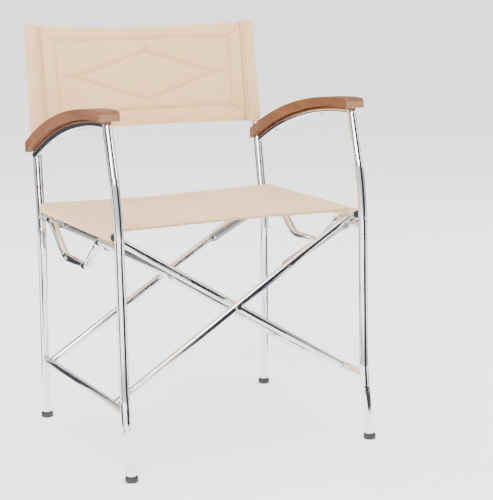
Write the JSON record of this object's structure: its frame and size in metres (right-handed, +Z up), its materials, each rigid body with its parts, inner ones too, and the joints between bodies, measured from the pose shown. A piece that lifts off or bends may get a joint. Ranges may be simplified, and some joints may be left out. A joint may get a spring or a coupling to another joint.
{
  "type": "folding director's chair",
  "caption": "Folding chair with polished steel side frames, teak armrests, a crossed folding base and a padded cream canvas seat and back.",
  "frame": {"origin": "centre of the footprint box, on the floor", "axes": "+Z up, -Y the way the sitter faces, +X towards the side on the viewer's right when seen from the front"},
  "size_m": [0.59, 0.5532, 0.8497],
  "materials": {
    "steel": "mirror polished stainless",
    "plate": "brushed",
    "rubber": "satin black",
    "teak": "oiled teak",
    "canvas": "woven cream canvas"
  },
  "bodies": {
    "left_frame": {"left_front_leg": "steel", "left_rear_upright": "steel", "left_arm_tube": "steel", "left_upper_rail": "steel", "left_pivot_bosses": "steel", "left_front_tab": "plate", "left_rear_tab": "plate", "left_tab_pins": "steel", "left_armrest": "teak", "left_armrest_screws": "steel", "left_front_foot": "rubber", "left_rear_foot": "rubber", "left_post_cap": "rubber", "left_back_sleeve": "canvas", "back_panel": "canvas"},
    "left_links": {"left_front_link": "plate", "left_rear_link": "plate"},
    "inner_frame": {"inner_front_arm": "steel", "inner_rear_arm": "steel", "inner_lower_tube": "steel", "inner_seat_tube": "steel", "inner_seat_caps": "rubber", "inner_link_pins": "steel", "left_seat_sleeve": "canvas", "seat_panel": "canvas"},
    "outer_frame": {"outer_front_arm": "steel", "outer_rear_arm": "steel", "outer_lower_tube": "steel", "outer_seat_tube": "steel", "outer_seat_caps": "rubber", "outer_link_pins": "steel", "right_seat_sleeve": "canvas", "centre_bolts": "steel", "centre_spacers": "steel", "centre_nuts": "steel"},
    "right_links": {"right_front_link": "plate", "right_rear_link": "plate"},
    "right_frame": {"right_front_leg": "steel", "right_rear_upright": "steel", "right_arm_tube": "steel", "right_upper_rail": "steel", "right_pivot_bosses": "steel", "right_front_tab": "plate", "right_rear_tab": "plate", "right_tab_pins": "steel", "right_armrest": "teak", "right_armrest_screws": "steel", "right_front_foot": "rubber", "right_rear_foot": "rubber", "right_post_cap": "rubber", "right_back_sleeve": "canvas"}
  },
  "joints": [
    {"name": "left_tab_pivot", "type": "hinge", "parent": "left_frame", "child": "left_links", "pos_m": [-0.2495, -0.00934, 0.441], "axis": [0, -1, 0], "range_deg": [0, 110.9]},
    {"name": "left_link_pivot", "type": "hinge", "parent": "left_links", "child": "inner_frame", "pos_m": [-0.11791, -0.00934, 0.37386], "axis": [0, 1, 0], "range_deg": [0, 165.08]},
    {"name": "fold", "type": "hinge", "parent": "inner_frame", "child": "outer_frame", "pos_m": [0, -0.00934, 0.301], "axis": [0, -1, 0], "range_deg": [0, 103.58], "deforming": ["seat_panel", "back_panel"]},
    {"name": "right_link_pivot", "type": "hinge", "parent": "outer_frame", "child": "right_links", "pos_m": [0.11791, -0.00934, 0.37386], "axis": [0, 1, 0], "range_deg": [0, 165.08]},
    {"name": "right_tab_pivot", "type": "hinge", "parent": "right_links", "child": "right_frame", "pos_m": [0.2495, -0.00934, 0.441], "axis": [0, -1, 0], "range_deg": [0, 110.9]}
  ],
  "couplings": [
    {"joint": "left_tab_pivot", "follows": "fold", "ratio": 1.0705},
    {"joint": "left_link_pivot", "follows": "fold", "ratio": 1.5937},
    {"joint": "right_link_pivot", "follows": "fold", "ratio": 1.5937},
    {"joint": "right_tab_pivot", "follows": "fold", "ratio": 1.0705}
  ]
}
